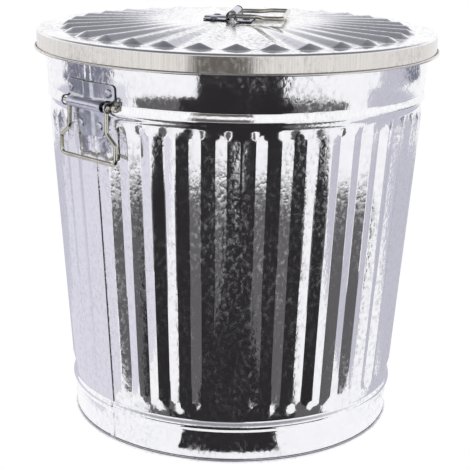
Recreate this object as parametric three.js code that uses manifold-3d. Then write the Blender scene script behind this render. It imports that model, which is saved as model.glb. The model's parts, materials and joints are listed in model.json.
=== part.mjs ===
// Galvanised round can with a loose lid, drop handles on both sides and one on the lid.
// Millimetres, +Z up. The origin is the centre of the foot ring, on the ground.
// The side handles are on the X axis, and the can's lock seam is under the one at -X.

import * as THREE from 'three';
import { mergeVertices } from 'three/addons/utils/BufferGeometryUtils.js';
import Module from 'manifold-3d';

const wasm = await Module();
wasm.setup();

// ---- driving dimensions ----

const SHEET = 0.6;                 // galvanised sheet of wall, base and lid
const GAP = 0.3;                   // clearance where two pieces touch
const TAPER = 0.073;               // growth of the wall's radius per unit of height

const WALL_BASE_R = 168.6;         // mean radius of the tapered wall, carried down to z = 0
const BAND_BASE_R = 169.8;         // radius of the plain top band, carried down to z = 0
const RIB_COUNT = 48;
const RIB_DEPTH = 3.4;             // ridge to valley
const SEAM_HALF_ANGLE = 2.5;       // plain strip beside the lock seam, degrees
const RIB_START_Z = 54;
const RIB_FULL_Z = 64.4;
const RIB_FADE_Z = 333;
const RIB_END_Z = 343;

const FOOT_R = 170.6;              // wall radius where it stands in the foot seam
const FOOT_SEAM_GAP = 0.4;
const FOOT_LIP_Z = 4.8;
const BASE_FLOOR_Z = 10;

const RIM_WIRE_R = 1.4;
const RIM_CURL_R = 2.6;            // middle of the sheet rolled round the rim wire
const RIM_TOP_Z = 414.4;

const LID_RING_Z = RIM_TOP_Z + GAP + SHEET / 2;
const LID_DISC_Z = 424;
const LID_DISC_R = 60;
const PLEAT_COUNT = 32;
const PLEAT_PEAK_R = 176;
const PLEAT_END_R = 184;
const PLEAT_HEIGHT = 4.6;
const SKIRT_R = 207;
const HEM_R = 1.15;
const HEM_Z = 396.95;

const STRAP = 1.2;                 // sheet of the handle brackets
const STRAP_HALF = 35.5;
const TAIL_HALF_TOP = 24;
const TAIL_HALF_END = 18;
const SHORT_PLATE = 21;            // from the pivot to the end of the wide plate
const LONG_PLATE = 31;             // from the pivot to the end of the tapered plate
const LOOP_R = 4.6;                // middle of the strap rolled round the bail
const LOOP_OPEN_ANGLE = 35;        // how far below the pivot the loop closes, degrees
const NOTCH_IN = 25;
const NOTCH_OUT = 31;
const NOTCH_ABOVE = 5.8;
const NOTCH_BELOW = 8;
const EDGE_BELOW = 5.2;            // how far the wide plate's sheet reaches past the pivot

const WIRE_R = 2.2;
const LEG_HALF = 28;
const STUB_HALF = 37.5;
const GRIP_HALF = 41;
const GRIP_DROP = 53.5;
const SHOULDER_TOP = 25;
const SHOULDER_END = 35;

const SIDE_PIVOT_Z = 357;
const SIDE_LOOP_X = 201.6;
const SIDE_BAIL_X = 199;
const SIDE_BEND_R = 197;
const LID_PIVOT_H = 5.6;
const LID_HANDLE_ANGLE = 38.5;     // direction of the lid handle's pivot, degrees from +X
const LID_PIVOT_OFFSET = 3;        // the pivot stands this far from the lid's centre

const RIVET_HEAD_R = 4.5;
const RIVET_HEAD_H = 1.8;
const RIVET_SHANK_R = 2;
const RIVET_TAIL_R = 3.2;
const RIVET_TAIL_H = 1.2;
const RIVET_HOLE_R = 2.4;
const WIDE_RIVET = { across: 28, along: -13 };
const TAIL_RIVET = { across: 14, along: 20 };
const LID_WIDE_RIVET = { across: 14, along: -14 };

const rad = THREE.MathUtils.degToRad;

// ---- materials ----

function steel(colour, roughness) {
  return new THREE.MeshStandardMaterial({ color: colour, metalness: 1, roughness });
}

const galvanised = () => steel(0xc3c5c9, 0.3);
const zincPlate = () => steel(0xb9bcc2, 0.32);
const zincWire = () => steel(0xc9c6b8, 0.25);

// ---- geometry helpers ----

// A closed geometry as a solid, whichever way round its outline was drawn.
function toSolid(geometry) {
  const bare = geometry.clone();
  bare.deleteAttribute('normal');
  bare.deleteAttribute('uv');
  const merged = mergeVertices(bare, 1e-4);
  const vertProperties = new Float32Array(merged.attributes.position.array);
  const triVerts = new Uint32Array(merged.index.array);
  const solid = new wasm.Manifold(new wasm.Mesh({ numProp: 3, vertProperties, triVerts }));
  if (solid.volume() > 0) return solid;
  return new wasm.Manifold(new wasm.Mesh({ numProp: 3, vertProperties, triVerts: triVerts.reverse() }));
}

function toGeometry(solid) {
  const mesh = solid.getMesh();
  const geometry = new THREE.BufferGeometry();
  geometry.setAttribute('position', new THREE.BufferAttribute(mesh.vertProperties, 3));
  geometry.setIndex(new THREE.BufferAttribute(mesh.triVerts, 1));
  geometry.computeVertexNormals();
  return geometry;
}

// The two faces of a bent sheet: a line of [a, b] points moved half a thickness each way.
function sheetFaces(line, thickness) {
  const left = [];
  const right = [];
  line.forEach((point, i) => {
    const before = line[Math.max(i - 1, 0)];
    const after = line[Math.min(i + 1, line.length - 1)];
    const first = new THREE.Vector2(point[0] - before[0], point[1] - before[1]).normalize();
    const second = new THREE.Vector2(after[0] - point[0], after[1] - point[1]).normalize();
    const along = first.clone().add(second).normalize();
    const known = first.lengthSq() > 0 ? first : second;
    const stretch = thickness / 2 / Math.max(along.dot(known), 0.5);
    left.push([point[0] - along.y * stretch, point[1] + along.x * stretch]);
    right.push([point[0] + along.y * stretch, point[1] - along.x * stretch]);
  });
  return { left, right };
}

function arc(centre, radius, fromDegrees, toDegrees, steps) {
  const points = [];
  for (let i = 0; i <= steps; i += 1) {
    const angle = rad(fromDegrees + ((toDegrees - fromDegrees) * i) / steps);
    points.push([centre[0] + radius * Math.cos(angle), centre[1] + radius * Math.sin(angle)]);
  }
  return points;
}

// Splits the quads of a turned sheet's second face along the same diagonal as its first face's, so
// that a twisted sheet keeps its thickness. The first face has firstQuads quads along its line.
function matchDiagonals(geometry, segments, firstQuads) {
  const index = geometry.index;
  const perSegment = index.count / (6 * segments);
  for (let i = 0; i < segments; i += 1) {
    for (let j = firstQuads + 1; j < perSegment; j += 1) {
      const at = 6 * (i * perSegment + j);
      const a = index.getX(at);
      const b = index.getX(at + 1);
      const d = index.getX(at + 2);
      const c = index.getX(at + 3);
      [a, b, c, a, c, d].forEach((vertex, k) => index.setX(at + k, vertex));
    }
  }
}

// A ring turned from a sheet whose [radius, height] line is given. shape() may move each vertex.
function turnedSheet(line, segments, shape) {
  const faces = sheetFaces(line, SHEET);
  const loop = [...faces.left, ...faces.right.slice().reverse()];
  const count = loop.length;
  const profile = [...loop, loop[0]].map(([r, z]) => new THREE.Vector2(r, z));
  const geometry = new THREE.LatheGeometry(profile, segments);
  const position = geometry.attributes.position;
  for (let i = 0; i <= segments; i += 1) {
    for (let j = 0; j <= count; j += 1) {
      const k = j % count;
      const station = k < line.length ? k : count - 1 - k;
      const turned = shape(loop[k][0], loop[k][1], i % segments, station);
      position.setXYZ(
        i * (count + 1) + j,
        turned.r * Math.cos(turned.angle),
        turned.r * Math.sin(turned.angle),
        turned.z,
      );
    }
  }
  matchDiagonals(geometry, segments, line.length - 1);
  return geometry;
}

// A round wire along a path of straight runs and rounded corners.
class WirePath extends THREE.CatmullRomCurve3 {
  getPointAt(t, target) {
    return this.getPoint(t, target);
  }

  getTangentAt(t, target) {
    return this.getTangent(t, target);
  }
}

function roundedCorners(corners, stepsPerCorner) {
  const points = [corners[0].at.clone()];
  for (let i = 1; i < corners.length - 1; i += 1) {
    const { at, radius } = corners[i];
    const back = corners[i - 1].at.clone().sub(at).normalize();
    const ahead = corners[i + 1].at.clone().sub(at).normalize();
    const trim = radius / Math.tan(back.angleTo(ahead) / 2);
    const bend = new THREE.QuadraticBezierCurve3(
      at.clone().addScaledVector(back, trim),
      at,
      at.clone().addScaledVector(ahead, trim),
    );
    points.push(...bend.getPoints(stepsPerCorner));
  }
  points.push(corners[corners.length - 1].at.clone());
  return points;
}

function wire(points, radius, sides) {
  const section = new THREE.Shape();
  for (let i = 0; i < sides; i += 1) {
    const angle = (2 * Math.PI * (i + 0.5)) / sides;
    const x = radius * Math.cos(angle);
    const y = radius * Math.sin(angle);
    if (i === 0) section.moveTo(x, y);
    else section.lineTo(x, y);
  }
  section.closePath();
  const path = new WirePath(points, false, 'centripetal');
  return new THREE.ExtrudeGeometry(section, {
    steps: points.length - 1,
    extrudePath: path,
    bevelEnabled: false,
  });
}

// A cylinder from one point to another, used to pierce rivet holes.
function drill(from, to, radius) {
  const length = from.distanceTo(to);
  const geometry = new THREE.CylinderGeometry(radius, radius, length, 8);
  const axis = to.clone().sub(from).normalize();
  geometry.applyQuaternion(new THREE.Quaternion().setFromUnitVectors(new THREE.Vector3(0, 1, 0), axis));
  const middle = from.clone().add(to).multiplyScalar(0.5);
  geometry.translate(middle.x, middle.y, middle.z);
  return toSolid(geometry);
}

function block(min, max) {
  const geometry = new THREE.BoxGeometry(max.x - min.x, max.y - min.y, max.z - min.z);
  geometry.translate((min.x + max.x) / 2, (min.y + max.y) / 2, (min.z + max.z) / 2);
  return toSolid(geometry);
}

// ---- can wall ----

const wallRadius = (z) => WALL_BASE_R + TAPER * z;
const bandRadius = (z) => BAND_BASE_R + TAPER * z;
const ridgeRadius = (z) => wallRadius(z) + RIB_DEPTH / 2;
const rimCurlCentre = [
  bandRadius(RIM_TOP_Z) - 0.3 + RIM_CURL_R,
  RIM_TOP_Z - RIM_CURL_R - SHEET / 2,
];

function wallLine() {
  return [
    { r: FOOT_R, z: SHEET + 0.4, rib: 0 },
    { r: FOOT_R, z: 6.5, rib: 0 },
    { r: 171.4, z: 8.5, rib: 0 },
    { r: 172.4, z: 34, rib: 0 },
    { r: 174.5, z: 40, rib: 0 },
    { r: 172.1, z: 46, rib: 0 },
    { r: wallRadius(RIB_START_Z), z: RIB_START_Z, rib: 0 },
    { r: wallRadius(RIB_FULL_Z), z: RIB_FULL_Z, rib: 1 },
    { r: wallRadius(RIB_FADE_Z), z: RIB_FADE_Z, rib: 1 },
    { r: wallRadius(RIB_END_Z), z: RIB_END_Z, rib: 0 },
    { r: 197, z: 351.5, rib: 0 },
    { r: bandRadius(360), z: 360, rib: 0 },
    { r: rimCurlCentre[0] - RIM_CURL_R, z: rimCurlCentre[1] - 5, rib: 0 },
    ...arc(rimCurlCentre, RIM_CURL_R, 180, -100, 4).map(([r, z]) => ({ r, z, rib: 0 })),
  ];
}

// Lines round the wall: the seam, the edge of its plain strip, then ridge, valley, ridge and so on.
const WALL_LINES = 2 * RIB_COUNT + 2;

function wallAngle(i) {
  if (i === 0) return 0;
  const facet = (360 - 2 * SEAM_HALF_ANGLE) / (2 * RIB_COUNT);
  return rad(SEAM_HALF_ANGLE + facet * (i - 1));
}

function ribOffset(i) {
  if (i <= 1 || i === WALL_LINES - 1) return 0;
  return i % 2 === 0 ? RIB_DEPTH / 2 : -RIB_DEPTH / 2;
}

function canWall(holes) {
  const line = wallLine();
  const geometry = turnedSheet(
    line.map((station) => [station.r, station.z]),
    WALL_LINES,
    (r, z, i, station) => ({
      r: r + line[station].rib * ribOffset(i),
      z,
      angle: Math.PI + wallAngle(i),
    }),
  );
  return toGeometry(holes.reduce((solid, hole) => solid.subtract(hole), toSolid(geometry)));
}

function rimWire() {
  const geometry = new THREE.TorusGeometry(rimCurlCentre[0], RIM_WIRE_R, 6, 72);
  geometry.translate(0, 0, rimCurlCentre[1]);
  return geometry;
}

// ---- base ----

function basePan() {
  const inner = FOOT_R - SHEET - FOOT_SEAM_GAP;
  const outer = FOOT_R + SHEET + FOOT_SEAM_GAP;
  const line = [
    [0.01, BASE_FLOOR_Z],
    [inner - 3, BASE_FLOOR_Z],
    [inner, BASE_FLOOR_Z - 3],
    [inner, SHEET / 2 + 0.6],
    [inner + 0.4, SHEET / 2],
    [outer - 0.4, SHEET / 2],
    [outer, SHEET / 2 + 0.6],
    [outer, FOOT_LIP_Z],
  ];
  const segments = 64;
  const faces = sheetFaces(line, SHEET);
  faces.left[0][0] = 0;
  faces.right[0][0] = 0;
  const profile = [...faces.right, ...faces.left.slice().reverse()];
  return turnedSolid(profile, segments);
}

// A solid turned about Z from an outline that starts and ends on the axis.
function turnedSolid(profile, segments) {
  const geometry = new THREE.LatheGeometry(profile.map(([r, z]) => new THREE.Vector2(r, z)), segments);
  geometry.rotateX(Math.PI / 2);
  const solid = toSolid(geometry);
  return toGeometry(solid);
}

// ---- lid ----

const LID_LINES = 2 * PLEAT_COUNT;

function lidLine() {
  return [
    { r: 0.01, z: LID_DISC_Z, pleat: 0 },
    { r: LID_DISC_R, z: LID_DISC_Z, pleat: 0 },
    { r: PLEAT_PEAK_R, z: LID_RING_Z + 0.58, pleat: PLEAT_HEIGHT },
    { r: PLEAT_END_R, z: LID_RING_Z, pleat: 0 },
    { r: SKIRT_R - 3.4, z: LID_RING_Z, pleat: 0 },
    { r: SKIRT_R - 1, z: LID_RING_Z - 0.9, pleat: 0 },
    { r: SKIRT_R, z: LID_RING_Z - 3.2, pleat: 0 },
    { r: SKIRT_R + 0.2, z: HEM_Z + 2.2, pleat: 0 },
    ...arc([SKIRT_R + HEM_R + 0.55, HEM_Z], HEM_R, 180, 460, 4).map(([r, z]) => ({ r, z, pleat: 0 })),
  ];
}

function lidShell(holes) {
  const line = lidLine();
  const faces = sheetFaces(line.map((station) => [station.r, station.z]), SHEET);
  faces.left[0][0] = 0;
  faces.right[0][0] = 0;
  const loop = [...faces.left, ...faces.right.slice().reverse()];
  const profile = loop.map(([r, z]) => new THREE.Vector2(r, z));
  const geometry = new THREE.LatheGeometry(profile, LID_LINES);
  const position = geometry.attributes.position;
  for (let i = 0; i <= LID_LINES; i += 1) {
    const angle = (2 * Math.PI * (i % LID_LINES)) / LID_LINES;
    loop.forEach(([r, z], j) => {
      const station = j < line.length ? line[j] : line[loop.length - 1 - j];
      const lift = i % 2 === 0 ? station.pleat : 0;
      position.setXYZ(i * loop.length + j, r * Math.cos(angle), r * Math.sin(angle), z + lift);
    });
  }
  matchDiagonals(geometry, LID_LINES, line.length - 1);
  return toGeometry(holes.reduce((solid, hole) => solid.subtract(hole), toSolid(geometry)));
}

// ---- handle brackets ----
// A strap is drawn in its own section plane: "along" runs from the wide plate to the tapered one,
// and "out" points away from the can. The pivot is at along = 0.

function loopLine(centreOut) {
  return arc([0, centreOut], LOOP_R, 180 + LOOP_OPEN_ANGLE, -LOOP_OPEN_ANGLE, 6);
}

function sideStrapLine() {
  const lift = SHEET / 2 + GAP + STRAP / 2;
  const height = (along) => SIDE_PIVOT_Z - along;
  const wide = (along) => bandRadius(height(along)) + lift;
  const tapered = (along) => ridgeRadius(height(along)) + lift;
  return [
    [-SHORT_PLATE - 1, wide(-SHORT_PLATE - 1)],
    [-6.6, wide(-6.6)],
    ...loopLine(SIDE_LOOP_X),
    [7.5, 197.65],
    [12, tapered(12)],
    [LONG_PLATE + 1, tapered(LONG_PLATE + 1)],
  ];
}

function lidStrapLine() {
  const lift = GAP + STRAP / 2;
  return [
    [-SHORT_PLATE - 1, lift],
    [-6.6, lift],
    ...loopLine(LID_PIVOT_H),
    [6.6, lift],
    [LONG_PLATE + 1, lift],
  ];
}

// The strap's outline seen from outside, in [across, along].
function strapOutline() {
  const corner = 4;
  const shape = new THREE.Shape();
  shape.moveTo(-STRAP_HALF, EDGE_BELOW);
  shape.lineTo(-STRAP_HALF, -SHORT_PLATE + corner);
  shape.absarc(-STRAP_HALF + corner, -SHORT_PLATE + corner, corner, Math.PI, 1.5 * Math.PI);
  shape.absarc(STRAP_HALF - corner, -SHORT_PLATE + corner, corner, 1.5 * Math.PI, 2 * Math.PI);
  shape.lineTo(STRAP_HALF, EDGE_BELOW);
  shape.lineTo(TAIL_HALF_TOP, EDGE_BELOW);
  shape.lineTo(TAIL_HALF_TOP, 11);
  shape.absarc(TAIL_HALF_END - corner, LONG_PLATE - corner, corner, 0, 0.5 * Math.PI);
  shape.absarc(-TAIL_HALF_END + corner, LONG_PLATE - corner, corner, 0.5 * Math.PI, Math.PI);
  shape.lineTo(-TAIL_HALF_TOP, 11);
  shape.lineTo(-TAIL_HALF_TOP, EDGE_BELOW);
  shape.closePath();
  return shape;
}

// Moves each vertex of a shape drawn in the strap's own frame to its place on the can.
function strapMap(geometry, place) {
  const position = geometry.attributes.position;
  for (let i = 0; i < position.count; i += 1) {
    const at = place(position.getX(i), position.getY(i), position.getZ(i));
    position.setXYZ(i, at.x, at.y, at.z);
  }
  return geometry;
}

function strapSolid(line, place, cutter, steps) {
  const faces = sheetFaces(line, STRAP);
  const section = new THREE.Shape(
    [...faces.left, ...faces.right.slice().reverse()].map(([along, out]) => new THREE.Vector2(along, out)),
  );
  const width = 2 * STRAP_HALF + 2;
  const band = new THREE.ExtrudeGeometry(section, { depth: width, steps, bevelEnabled: false });
  strapMap(band, (along, out, depth) => place(depth - width / 2, along, out));
  const outline = new THREE.ExtrudeGeometry(strapOutline(), { depth: 40, bevelEnabled: false, curveSegments: 4 });
  strapMap(outline, cutter);
  return toSolid(band).intersect(toSolid(outline));
}

function sidePlace(across, along, out) {
  const angle = across / SIDE_BEND_R;
  return new THREE.Vector3(out * Math.cos(angle), out * Math.sin(angle), SIDE_PIVOT_Z - along);
}

function sideBracket() {
  const cutter = (across, along, depth) => new THREE.Vector3(depth + 180, across, SIDE_PIVOT_Z - along);
  let solid = strapSolid(sideStrapLine(), sidePlace, cutter, 8);
  for (const side of [-1, 1]) {
    const low = Math.min(side * NOTCH_IN, side * NOTCH_OUT);
    solid = solid.subtract(block(
      new THREE.Vector3(185, low, SIDE_PIVOT_Z - NOTCH_BELOW),
      new THREE.Vector3(215, low + NOTCH_OUT - NOTCH_IN, SIDE_PIVOT_Z + NOTCH_ABOVE),
    ));
  }
  for (const rivet of sideRivets()) solid = solid.subtract(rivet.hole);
  return toGeometry(solid);
}

function lidPlace(across, along, out) {
  return new THREE.Vector3(-along, across, out);
}

function lidBracket() {
  const cutter = (across, along, depth) => new THREE.Vector3(-along, across, depth - 10);
  let solid = strapSolid(lidStrapLine(), lidPlace, cutter, 1);
  for (const side of [-1, 1]) {
    const low = Math.min(side * NOTCH_IN, side * NOTCH_OUT);
    solid = solid.subtract(block(
      new THREE.Vector3(-6.3, low, GAP + STRAP + 0.1),
      new THREE.Vector3(6.3, low + NOTCH_OUT - NOTCH_IN, 15),
    ));
  }
  for (const rivet of lidRivets()) solid = solid.subtract(rivet.hole);
  return toGeometry(solid);
}

// ---- bails ----
// Drawn hanging from a pivot along X, with the grip at -Y.

function bailPoints() {
  const at = (x, y) => new THREE.Vector3(x, y, 0);
  const half = [
    { at: at(STUB_HALF, 0) },
    { at: at(LEG_HALF, 0), radius: 2.6 },
    { at: at(LEG_HALF, -SHOULDER_TOP), radius: 7 },
    { at: at(GRIP_HALF, -SHOULDER_END), radius: 5 },
    { at: at(GRIP_HALF, -GRIP_DROP), radius: 6 },
  ];
  const mirrored = half.slice().reverse().map((corner) => ({
    at: at(-corner.at.x, corner.at.y),
    radius: corner.radius,
  }));
  return roundedCorners([...half, ...mirrored], 3);
}

function bail() {
  return wire(bailPoints(), WIRE_R, 8);
}

// ---- rivets ----

// A domed head at +Z, a shank of the given grip, and a set tail at -Z. The tail's face is at z = 0.
function rivetGeometry(grip) {
  const profile = [
    [0, -RIVET_TAIL_H],
    [RIVET_TAIL_R, -RIVET_TAIL_H],
    [RIVET_TAIL_R, 0],
    [RIVET_SHANK_R, 0],
    [RIVET_SHANK_R, grip],
    [RIVET_HEAD_R, grip],
    [RIVET_HEAD_R * 0.75, grip + RIVET_HEAD_H * 0.7],
    [0, grip + RIVET_HEAD_H],
  ];
  return turnedSolid(profile, 10);
}

function sideRivet(across, along, tailRadius, headRadius) {
  const angle = across / SIDE_BEND_R;
  const z = SIDE_PIVOT_Z - along;
  const lean = Math.atan(TAPER);
  const out = new THREE.Vector3(
    Math.cos(angle) * Math.cos(lean),
    Math.sin(angle) * Math.cos(lean),
    -Math.sin(lean),
  );
  const foot = new THREE.Vector3(tailRadius * Math.cos(angle), tailRadius * Math.sin(angle), z);
  return {
    foot,
    out,
    grip: headRadius - tailRadius,
    hole: drill(foot.clone().addScaledVector(out, -6), foot.clone().addScaledVector(out, 12), RIVET_HOLE_R),
  };
}

function sideRivets() {
  const wideZ = SIDE_PIVOT_Z - WIDE_RIVET.along;
  const tailZ = SIDE_PIVOT_Z - TAIL_RIVET.along;
  const stack = SHEET / 2 + GAP + STRAP + GAP;
  const list = [];
  for (const side of [-1, 1]) {
    list.push(sideRivet(
      side * WIDE_RIVET.across,
      WIDE_RIVET.along,
      bandRadius(wideZ) - SHEET / 2 - GAP,
      bandRadius(wideZ) + stack,
    ));
    list.push(sideRivet(
      side * TAIL_RIVET.across,
      TAIL_RIVET.along,
      wallRadius(tailZ) - SHEET / 2 - GAP - 0.3,
      ridgeRadius(tailZ) + stack,
    ));
  }
  return list;
}

function lidRivets() {
  const list = [];
  for (const spot of [LID_WIDE_RIVET, TAIL_RIVET]) {
    for (const side of [-1, 1]) {
      const foot = new THREE.Vector3(-spot.along, side * spot.across, -SHEET - GAP);
      const out = new THREE.Vector3(0, 0, 1);
      list.push({
        foot,
        out,
        grip: SHEET + GAP + GAP + STRAP + GAP,
        hole: drill(foot.clone().addScaledVector(out, -6), foot.clone().addScaledVector(out, 8), RIVET_HOLE_R),
      });
    }
  }
  return list;
}

// ---- assembly ----

const group = new THREE.Group();

function add(parent, name, geometry, material) {
  const mesh = new THREE.Mesh(geometry, material);
  mesh.name = name;
  parent.add(mesh);
  return mesh;
}

function addRivets(parent, prefix, rivets) {
  rivets.forEach((rivet, i) => {
    const mesh = add(parent, `${prefix}_${i + 1}`, rivetGeometry(rivet.grip), zincPlate());
    mesh.position.copy(rivet.foot);
    mesh.quaternion.setFromUnitVectors(new THREE.Vector3(0, 0, 1), rivet.out);
  });
}

// Holes for both side handles, turned to -X and +X.
function wallHoles() {
  return sideRivets().flatMap((rivet) => [rivet.hole, rivet.hole.rotate([0, 0, 180])]);
}

function addSideHandle(name, turn) {
  const side = new THREE.Group();
  side.rotation.z = turn;
  group.add(side);
  add(side, `${name}_bracket`, sideBracket(), zincPlate());
  addRivets(side, `${name}_rivet`, sideRivets());
  const hung = add(side, `${name}_bail`, bail(), zincWire());
  hung.rotation.set(Math.PI / 2, 0, 0);
  hung.rotation.order = 'ZXY';
  hung.rotation.z = Math.PI / 2;
  hung.position.set(SIDE_BAIL_X, 0, SIDE_PIVOT_Z);
}

add(group, 'can_wall', canWall(wallHoles()), galvanised());
add(group, 'rim_wire', rimWire(), zincWire());
add(group, 'base_pan', basePan(), galvanised());
addSideHandle('left_handle', Math.PI);
addSideHandle('right_handle', 0);

// The lid handle's own frame: +X along the bail, +Y along the pivot, z = 0 on the lid's disc.
const lidTop = new THREE.Group();
lidTop.rotation.z = rad(LID_HANDLE_ANGLE - 90);
lidTop.position.set(
  -LID_PIVOT_OFFSET * Math.cos(lidTop.rotation.z),
  -LID_PIVOT_OFFSET * Math.sin(lidTop.rotation.z),
  LID_DISC_Z + SHEET / 2,
);
lidTop.updateMatrix();

function lidHoles() {
  return lidRivets().map((rivet) => rivet.hole.transform(lidTop.matrix.toArray()));
}

add(group, 'lid_shell', lidShell(lidHoles()), galvanised());
group.add(lidTop);
add(lidTop, 'lid_handle_bracket', lidBracket(), zincPlate());
addRivets(lidTop, 'lid_rivet', lidRivets());
const lidBail = add(lidTop, 'lid_bail', bail(), zincWire());
lidBail.rotation.z = Math.PI / 2;
lidBail.position.z = LID_PIVOT_H;

export default group;
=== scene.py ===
"""Looks of the galvanised waste can: fine sheet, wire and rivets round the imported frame.

The can stands on its foot ring at the origin, +Z up, in metres. The side handles are on the X axis,
and the wall's lock seam runs down the can at -X.
"""

import json
import math

import bpy
from mathutils import Matrix, Vector


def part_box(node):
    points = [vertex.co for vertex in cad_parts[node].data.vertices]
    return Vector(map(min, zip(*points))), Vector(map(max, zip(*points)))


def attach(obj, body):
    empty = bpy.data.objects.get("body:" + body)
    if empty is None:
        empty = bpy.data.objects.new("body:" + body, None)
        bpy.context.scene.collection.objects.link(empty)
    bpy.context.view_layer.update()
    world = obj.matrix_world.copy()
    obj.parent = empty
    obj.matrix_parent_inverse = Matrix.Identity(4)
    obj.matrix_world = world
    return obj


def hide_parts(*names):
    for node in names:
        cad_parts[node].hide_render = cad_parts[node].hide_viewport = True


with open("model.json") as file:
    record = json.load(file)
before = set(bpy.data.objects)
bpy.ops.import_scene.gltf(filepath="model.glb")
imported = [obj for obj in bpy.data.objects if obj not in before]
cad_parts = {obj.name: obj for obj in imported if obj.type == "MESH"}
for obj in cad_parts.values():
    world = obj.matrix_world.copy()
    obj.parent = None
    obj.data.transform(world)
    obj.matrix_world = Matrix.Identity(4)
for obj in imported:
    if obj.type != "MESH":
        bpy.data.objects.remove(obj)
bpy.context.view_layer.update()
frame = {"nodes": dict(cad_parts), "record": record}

bl_info = {
    "name": "Galvanised Waste Can",
    "version": (1, 0, 0),
    "blender": (4, 5, 0),
    "location": "3D View > Sidebar > Waste Can",
    "description": "Builds the visual pieces of a ribbed waste can with a pleated lid and drop handles",
    "category": "Add Mesh",
}

MM = 0.001

# Wall and foot, all radii to the middle of the sheet.
TAPER = 0.073
WALL_BASE_R = 168.6 * MM
BAND_BASE_R = 169.8 * MM
RIB_COUNT = 48
RIB_HALF_DEPTH = 1.7 * MM
SEAM_STRIP = 2.5
RIB_PITCH = (360 - 2 * SEAM_STRIP) / RIB_COUNT
RIB_START = 54 * MM
RIB_END = 343 * MM
RIB_RAMP = 10 * MM
PAD_END = 312 * MM
SEAM_HALF = 1.05
SEAM_RISE = 1.0 * MM
FOOT_R = 170.6 * MM
RIM_TOP = 414.4 * MM
CURL_R = 2.6 * MM
CURL_CENTRE = (BAND_BASE_R + TAPER * RIM_TOP - 0.3 * MM + CURL_R, RIM_TOP - CURL_R - 0.3 * MM)

# Lid.
PLEATS = 32
PLEAT_CREST = 0.03
PLEAT_HALF_WIDTH = 0.4
RING_Z = 415.0 * MM
DISC_Z = 423.9 * MM
DISC_BORDER = (56 * MM, 66 * MM)
VALLEY_R = 184 * MM
PEAK_R = 176 * MM
PEAK_Z = 420.2 * MM
PEAK_RISE = 4.0 * MM
NOSE_R = 186 * MM
NOSE_CORNER = 6 * MM
SKIRT_R = 207 * MM
HEM_R = 1.15 * MM
HEM_Z = 396.95 * MM

# Brackets and bails, in the frame that part of the can and lid share.
STRAP_HALF = 35.5 * MM
BARREL_HALF = 33 * MM
TAIL_TOP = 24 * MM
TAIL_END = 18 * MM
SHORT_PLATE = 21 * MM
LONG_PLATE = 31 * MM
LOOP_R = 4.6 * MM
CHANNEL_RISE = 1.3 * MM
SIDE_PIVOT_Z = 357 * MM
SIDE_BARREL_X = 200.6 * MM
SIDE_BEND_R = 197 * MM
LID_PIVOT_RISE = 5.6 * MM
LEG_HALF = 28 * MM
TIP_HALF = 37.5 * MM
GRIP_HALF = 41 * MM
GRIP_DROP = 53.5 * MM
SHOULDER_TOP = 25 * MM
SHOULDER_END = 35 * MM

JOINTS = {joint["name"]: joint for joint in frame["record"]["behaviour"]["joints"]}

# Camera.
VIEW_AZIMUTH = math.radians(-45)
VIEW_ELEVATION = math.radians(15.714)
VIEW_ROLL = math.radians(1.055)
VIEW_DISTANCE = 1.3995
VIEW_TARGET = Vector((0.001135, -0.001135, 0.19038))
VIEW_LENS = 98.28


# ---------------------------------------------------------------- shader maths


class Value:
    """A shader socket that does arithmetic: each operator adds its Math node."""

    def __init__(self, tree, socket):
        self.tree = tree
        self.socket = socket

    def _math(self, operation, *inputs, clamp=False):
        node = self.tree.nodes.new("ShaderNodeMath")
        node.operation = operation
        node.use_clamp = clamp
        for slot, given in zip(node.inputs, inputs):
            if isinstance(given, Value):
                self.tree.links.new(given.socket, slot)
            else:
                slot.default_value = given
        return Value(self.tree, node.outputs[0])

    def __add__(self, other):
        return self._math("ADD", self, other)

    def __sub__(self, other):
        return self._math("SUBTRACT", self, other)

    def __rsub__(self, other):
        return self._math("SUBTRACT", other, self)

    def __mul__(self, other):
        return self._math("MULTIPLY", self, other)

    __radd__ = __add__
    __rmul__ = __mul__

    def clamped(self):
        return self._math("ADD", self, 0.0, clamp=True)

    def step(self, low, high):
        """0 below low and 1 above high, straight between."""
        return ((self - low) * (1 / (high - low))).clamped()


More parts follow.
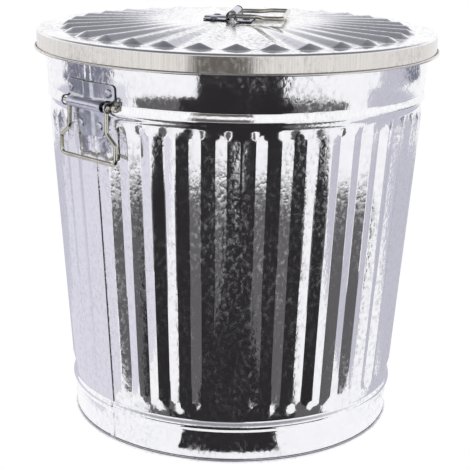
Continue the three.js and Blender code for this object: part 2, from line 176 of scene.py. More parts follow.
class Finish:
    """One material under construction."""

    def __init__(self, name):
        self.material = bpy.data.materials.new(name)
        self.material.use_nodes = True
        self.tree = self.material.node_tree
        self.shader = self.tree.nodes["Principled BSDF"]
        self.place = self.node("ShaderNodeTexCoord", {}, {}, "Object").socket

    def node(self, kind, settings, inputs, output=0):
        """Adds a node: its settings first, then the values or links of its sockets."""
        node = self.tree.nodes.new(kind)
        for name, setting in settings.items():
            setattr(node, name, setting)
        for name, given in inputs.items():
            if isinstance(given, Value):
                self.tree.links.new(given.socket, node.inputs[name])
            elif isinstance(given, bpy.types.NodeSocket):
                self.tree.links.new(given, node.inputs[name])
            else:
                node.inputs[name].default_value = given
        return Value(self.tree, node.outputs[output])

    def height(self):
        """Height above the ground, in metres."""
        return self.node("ShaderNodeSeparateXYZ", {}, {"Vector": self.place}, "Z")

    def stretched(self, scale):
        return self.node("ShaderNodeMapping", {}, {"Vector": self.place, "Scale": scale}).socket

    def noise(self, scale, detail=3.0, stretch=(1, 1, 1)):
        inputs = {"Vector": self.stretched(stretch), "Scale": scale, "Detail": detail}
        return self.node("ShaderNodeTexNoise", {}, inputs, "Fac")

    def spangle(self, scale, stretch=(1, 1, 1)):
        """Zinc crystals: one grey value for each cell."""
        crystals = self.node(
            "ShaderNodeTexVoronoi", {}, {"Vector": self.stretched(stretch), "Scale": scale}, "Color"
        )
        return self.node("ShaderNodeSeparateColor", {}, {"Color": crystals}, "Red")

    def blend(self, factor, low, high):
        """A colour between two, by a value."""
        settings = {"data_type": "RGBA"}
        inputs = {0: factor, 6: (*low, 1), 7: (*high, 1)}
        return self.node("ShaderNodeMix", settings, inputs, 2)

    def join(self, name, given):
        if isinstance(given, Value):
            self.tree.links.new(given.socket, self.shader.inputs[name])
        else:
            self.shader.inputs[name].default_value = given

    def bump(self, height, depth):
        """Relief of the given depth in metres."""
        relief = self.node("ShaderNodeBump", {}, {"Height": height, "Strength": 1.0, "Distance": depth})
        self.join("Normal", relief)


def sheet_finish(name, bright, dull, roughness, relief, skirt=None):
    """Hot-dip galvanised sheet: mirror-like metal, broken up by crystals and slow waves.

    A skirt colour gives everything below the lid's ring a drawn, vertically brushed look."""
    finish = Finish(name)
    crystals = finish.spangle(330, (1, 1, 0.7))
    waves = finish.noise(22, 2.0, (1, 1, 0.3))
    dapple = finish.noise(270, 1.5, (1, 1, 0.7))
    patches = finish.noise(15, 3.0, (1, 1, 0.45)).step(0.32, 0.58)
    hazy = dapple.step(0.44, 0.72) * patches
    tone = (crystals * 0.14 + hazy * 0.4).clamped()
    colour = finish.blend(tone, bright, dull)
    rough = hazy * 0.25 + crystals * patches * 0.06 + roughness
    height = waves * 0.4 + dapple * (patches * 0.26 + 0.05)
    if skirt:
        streaks = finish.noise(700, 3.0, (1, 1, 0.02))
        below = 1 - finish.height().step(RING_Z - 2.2 * MM, RING_Z - 1.2 * MM)
        drawn = finish.blend(streaks.step(0.3, 0.7), skirt, duller(skirt, 0.86))
        colour = finish.node("ShaderNodeMix", {"data_type": "RGBA"}, {0: below, 6: colour, 7: drawn}, 2)
        rough = rough + below * (streaks * 0.06 + 0.04)
        height = height * (1 - below) + streaks * below * 0.2
    finish.join("Base Color", colour)
    finish.join("Metallic", 1.0)
    finish.join("Roughness", rough.clamped())
    finish.bump(height, relief)
    return finish.material


def brushed_finish(name, bright, dark, roughness):
    """Zinc plated strap and rivets: fine scratches and small dents."""
    finish = Finish(name)
    scratches = finish.noise(900, 3.0, (1, 1, 0.08))
    dents = finish.noise(140, 3.0)
    finish.join("Base Color", finish.blend(dents.step(0.35, 0.7), bright, dark))
    finish.join("Metallic", 1.0)
    finish.join("Roughness", (scratches * 0.16 + dents * 0.1 + (roughness - 0.12)).clamped())
    finish.bump(scratches * 0.25 + dents * 0.75, 0.00022)
    return finish.material


def wire_finish(name, bright, dark, roughness):
    """Bright zinc wire with drawing marks and a slight yellow passivation."""
    finish = Finish(name)
    patches = finish.noise(60, 3.0)
    drawn = finish.noise(700, 2.0)
    finish.join("Base Color", finish.blend(patches.step(0.38, 0.66), bright, dark))
    finish.join("Metallic", 1.0)
    finish.join("Roughness", (drawn * 0.12 + patches * 0.08 + (roughness - 0.1)).clamped())
    finish.bump(drawn, 0.00006)
    return finish.material


def edge_shade_finish(name, colour):
    """The strap's sheared edge, painted near black as painted shade for the shadows along the strap's edges."""
    finish = Finish(name)
    # the noise varies the painted edge shade between dark and darker
    marks = finish.noise(600, 3.0, (1, 1, 0.2))
    finish.join("Base Color", finish.blend(marks, colour, duller(colour, 0.5)))
    finish.join("Metallic", 0.7)
    finish.join("Roughness", (marks * 0.2 + 0.35).clamped())
    return finish.material


def dressed(piece, *materials):
    piece.data.materials.clear()
    for material in materials:
        piece.data.materials.append(material)


# ---------------------------------------------------------------- modelling


def deselect_all():
    if bpy.context.object and bpy.context.object.mode != "OBJECT":
        bpy.ops.object.mode_set(mode="OBJECT")
    bpy.ops.object.select_all(action="DESELECT")


def ring_angles(count):
    return [2 * math.pi * i / count for i in range(count)]


def turned(name, stations, angles, close_start=False, close_end=False):
    """Draws a ring up through its (radius, height) stations, by extruding and scaling it."""
    deselect_all()
    radius, height = stations[0]
    bpy.ops.mesh.primitive_circle_add(vertices=len(angles), radius=radius)
    piece = bpy.context.object
    piece.name = name
    for vertex, angle in zip(piece.data.vertices, angles):
        vertex.co = (radius * math.cos(angle), radius * math.sin(angle), height)
    bpy.ops.object.mode_set(mode="EDIT")
    bpy.ops.mesh.select_all(action="SELECT")
    if close_start:
        bpy.ops.mesh.edge_face_add()
    for (r0, z0), (r1, z1) in zip(stations, stations[1:]):
        bpy.ops.mesh.extrude_edges_move(TRANSFORM_OT_translate={"value": (0, 0, z1 - z0)})
        bpy.ops.transform.resize(value=(r1 / r0, r1 / r0, 1), center_override=(0, 0, z1))
    if close_end:
        bpy.ops.mesh.edge_face_add()
    bpy.ops.mesh.select_all(action="SELECT")
    bpy.ops.mesh.normals_make_consistent(inside=False)
    bpy.ops.object.mode_set(mode="OBJECT")
    return piece


def pressed(piece, shape):
    """Moves each vertex by a die's formula."""
    for vertex in piece.data.vertices:
        vertex.co = shape(vertex.co.copy())


def finished(piece, thickness=0.0, bevel=0.0, smooth=35.0, cut=0):
    """Gives a sheet its thickness and edges, and shades it. Its cut edges can have their own material."""
    deselect_all()
    piece.select_set(True)
    bpy.context.view_layer.objects.active = piece
    if thickness:
        solidify = piece.modifiers.new("sheet", "SOLIDIFY")
        solidify.thickness = thickness
        solidify.offset = 0.0
        solidify.use_even_offset = True
        solidify.material_offset_rim = cut
        bpy.ops.object.modifier_apply(modifier=solidify.name)
    if bevel:
        edge = piece.modifiers.new("edge", "BEVEL")
        edge.width = bevel
        edge.segments = 2
        edge.limit_method = "ANGLE"
        edge.angle_limit = math.radians(50)
        bpy.ops.object.modifier_apply(modifier=edge.name)
    bpy.ops.object.shade_smooth_by_angle(angle=math.radians(smooth))


def placed(piece, matrix):
    """Moves a finished piece's mesh, and leaves its object at the origin."""
    piece.data.transform(matrix)
    piece.data.update()


def hand_in(piece, body, slot, material, *nodes):
    """Says what the piece rides on, what it stands for, and its finish if it has none yet."""
    if material:
        dressed(piece, material)
    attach(piece, body)
    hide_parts(*nodes)


def between(low, high, steps):
    return [low + (high - low) * i / steps for i in range(steps + 1)]


def arc(centre, radius, start, end, steps):
    """Points of an arc, its angles in degrees."""
    return [
        (centre[0] + radius * math.cos(math.radians(a)), centre[1] + radius * math.sin(math.radians(a)))
        for a in between(start, end, steps)
    ]


def eased(start, end, steps):
    """Stations of a soft S between two (radius, height) points."""
    points = []
    for t in between(0, 1, steps)[1:]:
        lift = (1 - math.cos(math.pi * t)) / 2
        points.append((start[0] + (end[0] - start[0]) * lift, start[1] + (end[1] - start[1]) * t))
    return points


# ---------------------------------------------------------------- can wall


def wall_radius(z):
    return WALL_BASE_R + TAPER * z


def band_radius(z):
    return BAND_BASE_R + TAPER * z


def wall_stations():
    """The wall's line from the foot seam to the rolled rim."""
    low_band = (172.3 * MM, 33.5 * MM)
    low_crown = (174.7 * MM, 40 * MM)
    low_end = (wall_radius(46.5 * MM), 46.5 * MM)
    bead_start = (wall_radius(344 * MM), 344 * MM)
    bead_crown = (196.9 * MM, 351 * MM)
    bead_end = (195.75 * MM, 360 * MM)
    line = [(FOOT_R, 1 * MM), (FOOT_R, 5.2 * MM), (171.2 * MM, 6.4 * MM), (171.3 * MM, 8 * MM), low_band]
    line += eased(low_band, low_crown, 6)
    line += eased(low_crown, low_end, 6)
    line += [(wall_radius(z), z) for z in between(RIB_START, RIB_START + RIB_RAMP, 8)]
    line += [(wall_radius(z), z) for z in between(RIB_START + RIB_RAMP, PAD_END - RIB_RAMP, 8)[1:]]
    line += [(wall_radius(z), z) for z in between(PAD_END - RIB_RAMP, PAD_END, 6)[1:]]
    line += [(wall_radius(z), z) for z in between(RIB_END - RIB_RAMP, RIB_END, 8)]
    line += [bead_start]
    line += eased(bead_start, bead_crown, 6)
    line += eased(bead_crown, bead_end, 7)
    line += [(band_radius(361 * MM), 361 * MM), (band_radius(385 * MM), 385 * MM)]
    line += arc(CURL_CENTRE, CURL_R, 180, -100, 12)
    return line


def wall_angles():
    """Columns from the seam round: its folded edges, then each rib's ridge, flanks and valley."""
    degrees = [0, SEAM_HALF - 0.1, SEAM_HALF]
    for rib in range(RIB_COUNT):
        for part in (0, 0.05, 0.25, 0.45, 0.5, 0.55, 0.75, 0.95):
            degrees.append(SEAM_STRIP + RIB_PITCH * (rib + part))
    degrees += [360 - SEAM_STRIP, 360 - SEAM_HALF - 0.15, 360 - SEAM_HALF + 0.15]
    return [math.pi + math.radians(d) for d in degrees]


def from_seam(x, y):
    return math.degrees(math.atan2(y, x) - math.pi) % 360


def rib_end_at(turn):
    """The ribs by each handle stop lower, and leave a plain pad under it."""
    near_seam = min(turn, 360 - turn) < SEAM_STRIP + RIB_PITCH
    opposite = abs(turn - 180) < RIB_PITCH
    return PAD_END if near_seam or opposite else RIB_END


def rib_offset(turn, z):
    """How far the ribs push the wall out or in, with ends cut like a gable."""
    place = (turn - SEAM_STRIP) / RIB_PITCH
    if not 0 <= place <= RIB_COUNT:
        return 0.0
    wave = 1 - 4 * abs(place % 1 - 0.5)
    if place < 0.5 or place > RIB_COUNT - 0.5:
        wave = 1 - 2 * abs(place % 1 - 0.5)
    room = min(z - RIB_START, rib_end_at(turn) - z) / RIB_RAMP
    limit = max(0.0, min(1.0, room))
    return RIB_HALF_DEPTH * max(-limit, min(limit, wave))


def seam_offset(turn, z):
    raised = min(turn, 360 - turn) < SEAM_HALF - 0.01
    return SEAM_RISE if raised and 6 * MM < z < 400 * MM else 0.0


def press_wall(point):
    radius = math.hypot(point.x, point.y)
    turn = from_seam(point.x, point.y)
    wider = (radius + rib_offset(turn, point.z) + seam_offset(turn, point.z)) / radius
    return Vector((point.x * wider, point.y * wider, point.z))


# ---------------------------------------------------------------- lid


def lid_stations():
    """The lid's line from the rolled hem, up the skirt and in to the middle disc."""
    line = arc((SKIRT_R + HEM_R + 0.55 * MM, HEM_Z), HEM_R, 450, 180, 10)
    line += [(SKIRT_R + 0.2 * MM, HEM_Z + 2.2 * MM)]
    line += arc((SKIRT_R - 2.4 * MM, RING_Z - 2.4 * MM), 2.4 * MM, 0, 90, 5)
    line += [(192 * MM, RING_Z)]
    line += [(r, RING_Z) for r in between(187 * MM, 175 * MM, 12)]
    line += [(r, RING_Z) for r in between(168 * MM, 68 * MM, 8)]
    line += [(r, RING_Z) for r in between(66 * MM, 54 * MM, 8)]
    return line


def pleat_height(radius, turn):
    """Height of the pleated cone at a place: valleys, ridges, and each ridge's cut-off nose."""
    place = turn * PLEATS / 360
    away = abs(place - round(place))
    crest = max(0.0, min(1.0, (PLEAT_HALF_WIDTH - away) / (PLEAT_HALF_WIDTH - PLEAT_CREST)))
    slope = (DISC_Z - RING_Z) / (VALLEY_R - DISC_BORDER[1])
    valley = min(DISC_Z, RING_Z + max(0.0, VALLEY_R - radius) * slope)
    ridge = PEAK_Z + (PEAK_R - radius) * PEAK_RISE / (PEAK_R - DISC_BORDER[0])
    border = DISC_BORDER[1] - (DISC_BORDER[1] - DISC_BORDER[0]) * crest
    if radius < border:
        return DISC_Z
    nose_end = NOSE_R - NOSE_CORNER * (1 - crest) ** 1.5
    nose = max(0.0, nose_end - radius) * (PEAK_Z - RING_Z) / (NOSE_R - PEAK_R)
    return max(valley, min(valley + (ridge - valley) * crest, RING_Z + nose))


def lid_angles():
    """Columns of each pleat: its narrow crest, its two flanks and the valley beyond."""
    parts = (-PLEAT_CREST, PLEAT_CREST, 0.12, 0.22, 0.31, PLEAT_HALF_WIDTH, 0.5, 0.6, 0.69, 0.78, 0.88)
    return [2 * math.pi * (pleat + part) / PLEATS for pleat in range(PLEATS) for part in parts]


def press_lid(point):
    radius = math.hypot(point.x, point.y)
    if radius > NOSE_R + 0.5 * MM:
        return point
    turn = math.degrees(math.atan2(point.y, point.x)) % 360
    return Vector((point.x, point.y, pleat_height(radius, turn)))


# ---------------------------------------------------------------- brackets


def loop_line(centre_out):
    return arc((0, centre_out), LOOP_R, 215, -35, 20)


def bracket_rows(line_of_plate, line_of_tail, centre_out):
    """Rows of the strap from the wide plate's end, round the loop, to the tapered end."""
    rows = []
    for along in [-SHORT_PLATE + d * MM for d in (0, 0.5, 1.4, 2.6, 4)]:
        rows.append(("plate", along, line_of_plate(along)))
    rows.append(("plate", -7.6 * MM, line_of_plate(-7.6 * MM)))
    rows.append(("neck", -5.8 * MM, line_of_plate(-6 * MM) + 0.3 * MM))
    rows += [("loop", along, out) for along, out in loop_line(centre_out)]
    rows.append(("tail", 6.8 * MM, line_of_tail(6.8 * MM)))
    rows.append(("tail", 11 * MM, line_of_tail(11 * MM)))
    for along in [LONG_PLATE - d * MM for d in (4, 2.6, 1.4, 0.5, 0)]:
        rows.append(("tail", along, line_of_tail(along)))
    return rows


def corner_cut(distance, radius=4 * MM):
    """How much a rounded corner narrows the plate near its end."""
    inside = max(0.0, radius - distance)
    return radius - math.sqrt(radius * radius - inside * inside)


def row_widths(kind, along):
    """Where the outer columns of a row lie: the slot's inner edge, its outer edge, the strap's edge."""
    if kind == "tail":
        share = max(0.0, (along - 11 * MM) / (LONG_PLATE - 11 * MM))
        edge = TAIL_TOP + (TAIL_END - TAIL_TOP) * share - corner_cut(LONG_PLATE - along)
        return edge, edge, edge
    half = BARREL_HALF
    if kind == "plate":
        half = STRAP_HALF - corner_cut(along + SHORT_PLATE)
    return 25 * MM, 25 * MM + 0.75 * (half - 25 * MM), half


def channel_rise(across):
    """The pressed channel that clears the wall's seam."""
    share = (7.4 * MM - abs(across)) / (3.2 * MM)
    share = max(0.0, min(1.0, share))
    return CHANNEL_RISE * share * share * (3 - 2 * share)


def bracket(name, rows, place, finish, edge):
    """A strap laid out as a grid: rows along it, columns across, with slots left for the bail's legs."""
    deselect_all()
    inner = [c * MM for c in (0, 2.4, 4.2, 5, 5.8, 6.6, 7.4, 10, 13)]
    columns = 2 * (len(inner) + 3) - 1
    bpy.ops.mesh.primitive_grid_add(x_subdivisions=columns - 1, y_subdivisions=len(rows) - 1, size=1)
    piece = bpy.context.object
    piece.name = name
    for j, (kind, along, out) in enumerate(rows):
        half = inner + list(row_widths(kind, along))
        across = [-u for u in reversed(half[1:])] + half
        for i, u in enumerate(across):
            rise = 0.0 if kind == "loop" else channel_rise(u)
            piece.data.vertices[j * columns + i].co = place(u, along, out + rise, kind == "loop")
    slots = (1, columns - 3)
    outer = (0, columns - 2)
    doomed = []
    for j in range(len(rows) - 1):
        below, above = rows[j][0], rows[j + 1][0]
        in_slot = above == "loop" or below == "loop"
        for i in range(columns - 1):
            past_loop = above == "tail" or below == "tail"
            if (i in slots and in_slot) or (past_loop and i in slots + outer):
                doomed.append(j * (columns - 1) + i)
    bpy.ops.object.mode_set(mode="EDIT")
    bpy.ops.mesh.select_mode(type="FACE")
    bpy.ops.mesh.select_all(action="DESELECT")
    bpy.ops.object.mode_set(mode="OBJECT")
    for face in piece.data.polygons:
        face.select = face.index in doomed
    bpy.ops.object.mode_set(mode="EDIT")
    bpy.ops.mesh.delete(type="FACE")
    bpy.ops.mesh.select_mode(type="VERT")
    bpy.ops.mesh.select_all(action="SELECT")
    bpy.ops.mesh.remove_doubles(threshold=0.00001)
    bpy.ops.mesh.normals_make_consistent(inside=False)
    bpy.ops.object.mode_set(mode="OBJECT")
    # the second material, on the cut edges, is the near-black painted edge shade
    dressed(piece, finish, edge)
    finished(piece, thickness=1.2 * MM, bevel=0.2 * MM, smooth=40, cut=1)
    return piece


def side_place(across, along, out, straight):
    """A point of the strap on the can: the plates follow the wall, the loop runs straight."""
    turn = across / SIDE_BEND_R
    if straight:
        return (out, across, SIDE_PIVOT_Z - along)
    return (out * math.cos(turn), out * math.sin(turn), SIDE_PIVOT_Z - along)


def side_rows():
    lift = 1.2 * MM
    return bracket_rows(
        lambda along: band_radius(SIDE_PIVOT_Z - along) + lift,
        lambda along: wall_radius(SIDE_PIVOT_Z - along) + RIB_HALF_DEPTH + lift,
        SIDE_BARREL_X,
    )


def flat_place(across, along, out, straight):
    return (-along, across, out)


def flat_rows():
    return bracket_rows(lambda along: 0.9 * MM, lambda along: 0.9 * MM, LID_PIVOT_RISE)


# ---------------------------------------------------------------- bails and rivets


def rounded(corners, steps):
    """A line through corners, each ((x, y), radius), with its bends rounded."""
    points = [Vector((*corners[0][0], 0))]
    for before, (at, radius), after in zip(corners, corners[1:], corners[2:]):
        corner = Vector((*at, 0))
        back = (Vector((*before[0], 0)) - corner).normalized()
        ahead = (Vector((*after[0], 0)) - corner).normalized()
        trim = radius / math.tan(back.angle(ahead) / 2)
        start, end = corner + back * trim, corner + ahead * trim
        for t in between(0, 1, steps):
            points.append(start * (1 - t) ** 2 + corner * (2 * t * (1 - t)) + end * t * t)
    points.append(Vector((*corners[-1][0], 0)))
    return points


def bail_line():
    half = [
        ((TIP_HALF, 0), 0),
        ((LEG_HALF, 0), 2.6 * MM),
        ((LEG_HALF, -SHOULDER_TOP), 7 * MM),
        ((GRIP_HALF, -SHOULDER_END), 5 * MM),
        ((GRIP_HALF, -GRIP_DROP), 6 * MM),
    ]
    mirrored = [((-x, y), radius) for (x, y), radius in reversed(half)]
    return rounded(half + mirrored, 10)


def bail(name, wire_radius):
    """A drop handle drawn as a curve along its wire, then made a mesh."""
    deselect_all()
    curve = bpy.data.curves.new(name, "CURVE")
    curve.dimensions = "3D"
    curve.bevel_depth = wire_radius
    curve.bevel_resolution = 6
    curve.use_fill_caps = True
    spline = curve.splines.new("POLY")
    line = bail_line()
    spline.points.add(len(line) - 1)
    for point, at in zip(spline.points, line):
        point.co = (*at, 1)
    piece = bpy.data.objects.new(name, curve)
    bpy.context.collection.objects.link(piece)
    piece.select_set(True)
    bpy.context.view_layer.objects.active = piece
    bpy.ops.object.convert(target="MESH")
    piece = bpy.context.object
    piece.name = name
    bpy.ops.object.mode_set(mode="EDIT")
    bpy.ops.mesh.select_all(action="SELECT")
    bpy.ops.mesh.remove_doubles(threshold=0.00001)
    bpy.ops.mesh.normals_make_consistent(inside=False)
    bpy.ops.object.mode_set(mode="OBJECT")
    finished(piece, smooth=50)
    return piece


def rivet_master(grip):
    """One rivet on +Z: its set tail below, the shank, and a low domed head."""
    tail, shank, head = 3.2 * MM, 2 * MM, 4.5 * MM
    stations = [(tail * 0.8, -1.2 * MM), (tail, -0.8 * MM), (tail, 0), (shank, 0), (shank, grip), (head, grip)]
    for angle in (15, 35, 55, 72):
        reach = math.radians(angle)
        stations.append((head * math.cos(reach), grip + 1.8 * MM * math.sin(reach)))
    piece = turned("rivet_master", stations, ring_angles(28), close_start=True, close_end=True)
    finished(piece, smooth=45)
    return piece


def box_centre(corners):
    low, high = corners
    return (Vector(low) + Vector(high)) / 2


def mesh_centre(mesh):
    points = [vertex.co for vertex in mesh.vertices]
    low = Vector([min(p[k] for p in points) for k in range(3)])
    high = Vector([max(p[k] for p in points) for k in range(3)])
    return (low + high) / 2


def rivet_at(master, node, direction):
    """A copy of the rivet in a CAD rivet's place, with its own mesh."""
    piece = bpy.data.objects.new(f"{node}_fine", master.data.copy())
    bpy.context.collection.objects.link(piece)
    placed(piece, direction.to_track_quat("Z", "Y").to_matrix().to_4x4())
    placed(piece, Matrix.Translation(box_centre(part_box(node)) - mesh_centre(piece.data)))
    return piece


# ---------------------------------------------------------------- settings


class WasteCanSizes(bpy.types.PropertyGroup):
    sheet: bpy.props.FloatProperty(
        name="Sheet", description="Thickness of the wall, base and lid", default=0.0006, unit="LENGTH"
    )
    wire_radius: bpy.props.FloatProperty(
        name="Wire radius", description="Radius of the handle wire", default=0.0022, unit="LENGTH"
    )


class WasteCanColours(bpy.types.PropertyGroup):
    sheet: bpy.props.FloatVectorProperty(
        name="Sheet", description="Bright galvanised sheet", default=(0.92, 0.92, 0.94), subtype="COLOR"
    )
    sheet_dull: bpy.props.FloatVectorProperty(
        name="Dull sheet", description="Sheet where it is dulled", default=(0.62, 0.63, 0.65), subtype="COLOR"
    )
    skirt: bpy.props.FloatVectorProperty(
        name="Skirt", description="Drawn sheet of the lid's skirt", default=(0.74, 0.71, 0.68), subtype="COLOR"
    )
    strap: bpy.props.FloatVectorProperty(
        name="Strap", description="Zinc plated strap", default=(0.62, 0.63, 0.70), subtype="COLOR"
    )
    wire: bpy.props.FloatVectorProperty(
        name="Wire", description="Zinc plated wire", default=(0.66, 0.64, 0.55), subtype="COLOR"
    )


def duller(colour, share):
    return tuple(channel * share for channel in colour)


# ---------------------------------------------------------------- operators


class WasteCanWall(bpy.types.Operator):
    """Builds the ribbed wall with its seam, beads and rolled rim, and dresses the rim wire"""

    bl_idname = "wastecan.wall"
    bl_label = "Can wall"

    def execute(self, context):
        sizes, colours = context.scene.waste_can_sizes, context.scene.waste_can_colours
        piece = turned("can_wall_fine", wall_stations(), wall_angles())
        pressed(piece, press_wall)
        finished(piece, thickness=sizes.sheet, smooth=32)
        finish = sheet_finish("galvanised_wall", tuple(colours.sheet), tuple(colours.sheet_dull), 0.075, 0.0007)
        hand_in(piece, "can", "can_sheet", finish, "can_wall")
        wire = wire_finish("rim_zinc", tuple(colours.wire), duller(colours.wire, 0.8), 0.3)
        dressed(frame["nodes"]["rim_wire"], wire)
        return {"FINISHED"}


class WasteCanBase(bpy.types.Operator):
    """Builds the recessed base and the folded foot"""

    bl_idname = "wastecan.base"
    bl_label = "Base"

    def execute(self, context):
        sizes, colours = context.scene.waste_can_sizes, context.scene.waste_can_colours
        inner, outer = 169.6 * MM, 171.5 * MM
        stations = arc((outer, 2.8 * MM), 1.5 * MM, 100, -70, 8)
        stations += [(outer - 0.2 * MM, 0.3 * MM), (inner + 0.5 * MM, 0.3 * MM), (inner, 0.9 * MM)]
        stations += [(inner, 7 * MM)]
        stations += arc((inner - 3 * MM, 7 * MM), 3 * MM, 20, 90, 4)
        stations += [(120 * MM, 10 * MM)]
        piece = turned("base_pan_fine", stations, ring_angles(192), close_end=True)
        finished(piece, thickness=sizes.sheet)
        finish = sheet_finish(
            "galvanised_base", duller(colours.sheet, 0.95), duller(colours.sheet_dull, 0.9), 0.14, 0.0006
        )
        hand_in(piece, "can", "base_sheet", finish, "base_pan")
        return {"FINISHED"}


class WasteCanLid(bpy.types.Operator):
    """Builds the pleated lid with its skirt and rolled hem"""

    bl_idname = "wastecan.lid"
    bl_label = "Lid"

    def execute(self, context):
        sizes, colours = context.scene.waste_can_sizes, context.scene.waste_can_colours
        piece = turned("lid_shell_fine", lid_stations(), lid_angles(), close_end=True)
        pressed(piece, press_lid)
        finished(piece, thickness=sizes.sheet, smooth=24)
        finish = sheet_finish(
            "galvanised_lid", tuple(colours.sheet), tuple(colours.sheet_dull), 0.08, 0.0003, tuple(colours.skirt)
        )
        hand_in(piece, "lid", "lid_sheet", finish, "lid_shell")
        return {"FINISHED"}


class WasteCanBrackets(bpy.types.Operator):
    """Builds the pressed straps that hold the three bails"""

    bl_idname = "wastecan.brackets"
    bl_label = "Handle brackets"

    def execute(self, context):
        colours = context.scene.waste_can_colours
        finish = brushed_finish("zinc_strap", tuple(colours.strap), duller(colours.strap, 0.8), 0.22)
        # near-black colour: painted shade along the strap's edges
        edge = edge_shade_finish("strap_edge_shade", (0.10, 0.095, 0.10))
        for side, turn in (("left", math.pi), ("right", 0.0)):
            piece = bracket(f"{side}_bracket_fine", side_rows(), side_place, finish, edge)
            placed(piece, Matrix.Rotation(turn, 4, "Z"))
            hand_in(piece, "can", "bracket_plate", None, f"{side}_handle_bracket")
        piece = bracket("lid_bracket_fine", flat_rows(), flat_place, finish, edge)
        placed(piece, lid_handle_frame() @ Matrix.Translation((0, 0, -LID_PIVOT_RISE)))
        hand_in(piece, "lid", "bracket_plate", None, "lid_handle_bracket")
        return {"FINISHED"}


def lid_handle_frame():
    """The lid bail's pivot: +X out along the bail, +Y along the pivot, +Z up."""
    joint = JOINTS["lid_bail_swing"]
    pivot = -Vector(joint["axis"]).normalized()
    out = pivot.cross(Vector((0, 0, 1)))
    turn = Matrix((out, pivot, (0, 0, 1))).transposed().to_4x4()
    return Matrix.Translation(joint["pos_m"]) @ turn


class WasteCanBails(bpy.types.Operator):
    """Builds the wire drop handles"""

    bl_idname = "wastecan.bails"
    bl_label = "Bails"

    def execute(self, context):
        sizes, colours = context.scene.waste_can_sizes, context.scene.waste_can_colours
        finish = wire_finish("zinc_wire", tuple(colours.wire), duller(colours.wire, 0.72), 0.15)
        hanging = Matrix.Rotation(math.pi / 2, 4, "Z") @ Matrix.Rotation(math.pi / 2, 4, "X")
        for side in ("left", "right"):
            piece = bail(f"{side}_bail_fine", sizes.wire_radius)
            pivot = Vector(JOINTS[f"{side}_bail_swing"]["pos_m"])
            placed(piece, Matrix.Translation(pivot) @ hanging)
            hand_in(piece, f"{side}_bail", "wire", finish, f"{side}_handle_bail")
        piece = bail("lid_bail_fine", sizes.wire_radius)
        placed(piece, lid_handle_frame() @ Matrix.Rotation(math.pi / 2, 4, "Z"))
        hand_in(piece, "lid_bail", "wire", finish, "lid_bail")
        return {"FINISHED"}


class WasteCanRivets(bpy.types.Operator):
    """Builds one domed rivet and sets a copy in each rivet's place"""

    bl_idname = "wastecan.rivets"
    bl_label = "Rivets"

    def execute(self, context):
        colours = context.scene.waste_can_colours
        finish = brushed_finish("zinc_rivet", tuple(colours.strap), duller(colours.strap, 0.65), 0.28)
        wide, tail, flat = rivet_master(2.4 * MM), rivet_master(4.4 * MM), rivet_master(2.7 * MM)
        lean = math.atan(TAPER)
        for side in ("left", "right"):
            for number in range(1, 5):
                node = f"{side}_handle_rivet_{number}"
                centre = box_centre(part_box(node))
                outward = Vector((centre.x, centre.y, 0)).normalized()
                direction = outward * math.cos(lean) - Vector((0, 0, math.sin(lean)))
                master = wide if number % 2 else tail
                hand_in(rivet_at(master, node, direction), "can", "rivet", finish, node)
        for number in range(1, 5):
            node = f"lid_rivet_{number}"
            hand_in(rivet_at(flat, node, Vector((0, 0, 1))), "lid", "rivet", finish, node)
        for master in (wide, tail, flat):
            bpy.data.objects.remove(master)
        return {"FINISHED"}


def plain(name, colour, glow):
    """A matt surface of one colour that glows in another, for the floor and the reflected mats."""
    material = bpy.data.materials.new(name)
    material.use_nodes = True
    shader = material.node_tree.nodes["Principled BSDF"]
    shader.inputs["Base Color"].default_value = (*colour, 1)
    shader.inputs["Roughness"].default_value = 1.0
    shader.inputs["Specular IOR Level"].default_value = 0.0
    shader.inputs["Emission Color"].default_value = (*glow, 1)
    shader.inputs["Emission Strength"].default_value = 1.0
    return material


def mat(name, corners_of, colour, level=1.5 * MM, rise=0.0):
    """A darker patch of studio floor that shows in reflections only.

    corners_of gives a place, across the view and along it, for shares of the patch's two sides.
    Its outer edge can rise off the floor."""
    deselect_all()
    bpy.ops.mesh.primitive_grid_add(x_subdivisions=16, y_subdivisions=1, size=1)
    piece = bpy.context.object
    piece.name = name
    across = Vector((math.cos(VIEW_AZIMUTH), math.sin(VIEW_AZIMUTH), 0))
    ahead = Vector((-math.sin(VIEW_AZIMUTH), math.cos(VIEW_AZIMUTH), 0))
    for vertex in piece.data.vertices:
        x, y = corners_of(vertex.co.x + 0.5, vertex.co.y + 0.5)
        vertex.co = across * x + ahead * y + Vector((0, 0, level + rise * (vertex.co.y + 0.5)))
    dressed(piece, plain(name, (0, 0, 0), colour))
    piece.visible_camera = False
    piece.visible_diffuse = False
    piece.visible_shadow = False


def oblong(left, right, near, far):
    return lambda s, t: (left + (right - left) * s, near + (far - near) * t)


def sector(start, end, inner, outer, nearer=0.0):
    """A part of a ring, its angles in degrees from the view's direction, right positive.

    The ring is round the can, or round a place nearer to the camera."""

    def corner(s, t):
        angle = math.radians(start + (end - start) * s)
        radius = inner + (outer - inner) * t
        return radius * math.sin(angle), -nearer - radius * math.cos(angle)

    return corner


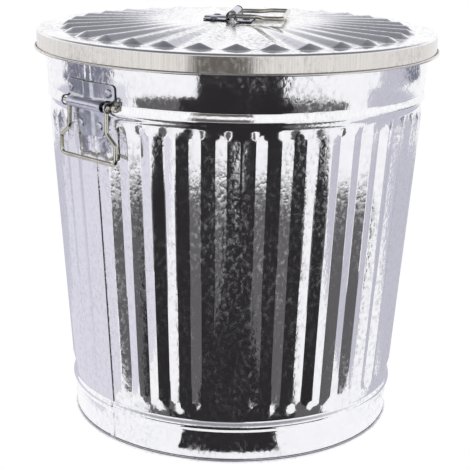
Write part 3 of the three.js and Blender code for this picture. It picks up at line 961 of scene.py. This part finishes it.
class WasteCanStage(bpy.types.Operator):
    """Sets the pale floor, the soft surrounding light and the camera"""

    bl_idname = "wastecan.stage"
    bl_label = "Stage"

    def execute(self, context):
        deselect_all()
        bpy.ops.mesh.primitive_plane_add(size=24)
        floor = context.object
        floor.name = "floor"
        dressed(floor, plain("pale_floor", (0.6, 0.6, 0.6), (0.78, 0.78, 0.78)))
        black, lavender, blue = (0.022, 0.02, 0.022), (0.58, 0.57, 0.65), (0.19, 0.195, 0.25)
        mat("left_mat", sector(-105, -62, 0.2, 1.35), (0.76, 0.75, 0.83), 0.8 * MM)
        mat("left_back_mat", sector(-165, -105, 0.2, 1.3), (0.62, 0.61, 0.70), 0.8 * MM)
        mat("right_mat", sector(80, 160, 0.2, 1.3), lavender, 0.8 * MM)
        mat("front_wide_mat", sector(-66, 74, 0.16, 0.84, 0.13), (0.12, 0.115, 0.12), 1.1 * MM)
        mat("front_mat", sector(-30, 32, 0.25, 0.97), black)
        mat("front_near_mat", sector(-20, 19, 0.19, 0.25), black)
        mat("front_far_mat", sector(-21, 27, 0.8, 1.9), black, 1.8 * MM)
        mat("distant_card", sector(-24, 9, 2.6, 3.0), (0.13, 0.12, 0.11), rise=0.8)
        mat("left_far_mat", oblong(-4.0, -1.28, -0.43, 0.82), blue)
        mat("right_far_mat", oblong(1.28, 4.0, -0.03, 0.82), lavender)
        mat("right_back_mat", oblong(1.3, 4.0, 0.82, 1.56), blue)
        mat("back_mat", sector(165, 195, 0.3, 2.4), black)
        self.light(context.scene)
        self.camera(context.scene)
        context.scene.view_settings.view_transform = "Standard"
        return {"FINISHED"}

    def light(self, scene):
        """White all round, falling to grey overhead."""
        world = bpy.data.worlds.new("studio")
        world.use_nodes = True
        scene.world = world
        tree = world.node_tree
        sky = tree.nodes["Background"]
        coordinates = tree.nodes.new("ShaderNodeTexCoord")
        split = tree.nodes.new("ShaderNodeSeparateXYZ")
        ramp = tree.nodes.new("ShaderNodeValToRGB")
        stops = ramp.color_ramp.elements
        stops[0].position, stops[0].color = 0.29, (1, 1, 1, 1)
        stops[1].position, stops[1].color = 0.92, (0.15, 0.15, 0.17, 1)
        for place, colour in ((0.37, (0.76, 0.75, 0.80, 1)), (0.54, (0.32, 0.32, 0.35, 1))):
            stops.new(place).color = colour
        tree.links.new(coordinates.outputs["Generated"], split.inputs[0])
        tree.links.new(split.outputs["Z"], ramp.inputs[0])
        tree.links.new(ramp.outputs[0], sky.inputs["Color"])
        sky.inputs["Strength"].default_value = 1.05

    def camera(self, scene):
        azimuth, elevation = VIEW_AZIMUTH, VIEW_ELEVATION
        right = Vector((math.cos(azimuth), math.sin(azimuth), 0))
        back = Vector((
            math.sin(azimuth) * math.cos(elevation),
            -math.cos(azimuth) * math.cos(elevation),
            math.sin(elevation),
        ))
        up = back.cross(right)
        turned_right = right * math.cos(VIEW_ROLL) + up * math.sin(VIEW_ROLL)
        turned_up = up * math.cos(VIEW_ROLL) - right * math.sin(VIEW_ROLL)
        data = bpy.data.cameras.new("camera")
        data.lens = VIEW_LENS
        data.sensor_width = 36
        data.clip_start, data.clip_end = 0.05, 50
        camera = bpy.data.objects.new("camera", data)
        scene.collection.objects.link(camera)
        basis = Matrix((turned_right, turned_up, back)).transposed().to_4x4()
        camera.matrix_world = Matrix.Translation(VIEW_TARGET + back * VIEW_DISTANCE) @ basis
        scene.camera = camera


BUILDERS = (
    WasteCanStage, WasteCanWall, WasteCanBase, WasteCanLid, WasteCanBrackets, WasteCanBails, WasteCanRivets
)


class WasteCanPanel(bpy.types.Panel):
    bl_idname = "VIEW3D_PT_waste_can"
    bl_label = "Waste Can"
    bl_space_type = "VIEW_3D"
    bl_region_type = "UI"
    bl_category = "Waste Can"

    def draw(self, context):
        for group in (context.scene.waste_can_sizes, context.scene.waste_can_colours):
            for name in group.__annotations__:
                self.layout.prop(group, name)
        for builder in BUILDERS:
            self.layout.operator(builder.bl_idname)


CLASSES = (WasteCanSizes, WasteCanColours, *BUILDERS, WasteCanPanel)


def register():
    for each in CLASSES:
        bpy.utils.register_class(each)
    bpy.types.Scene.waste_can_sizes = bpy.props.PointerProperty(type=WasteCanSizes)
    bpy.types.Scene.waste_can_colours = bpy.props.PointerProperty(type=WasteCanColours)


def unregister():
    del bpy.types.Scene.waste_can_colours
    del bpy.types.Scene.waste_can_sizes
    for each in reversed(CLASSES):
        bpy.utils.unregister_class(each)


def main():
    register()
    for builder in BUILDERS:
        group, name = builder.bl_idname.split(".")
        getattr(getattr(bpy.ops, group), name)()


if __name__ == "__main__":
    main()
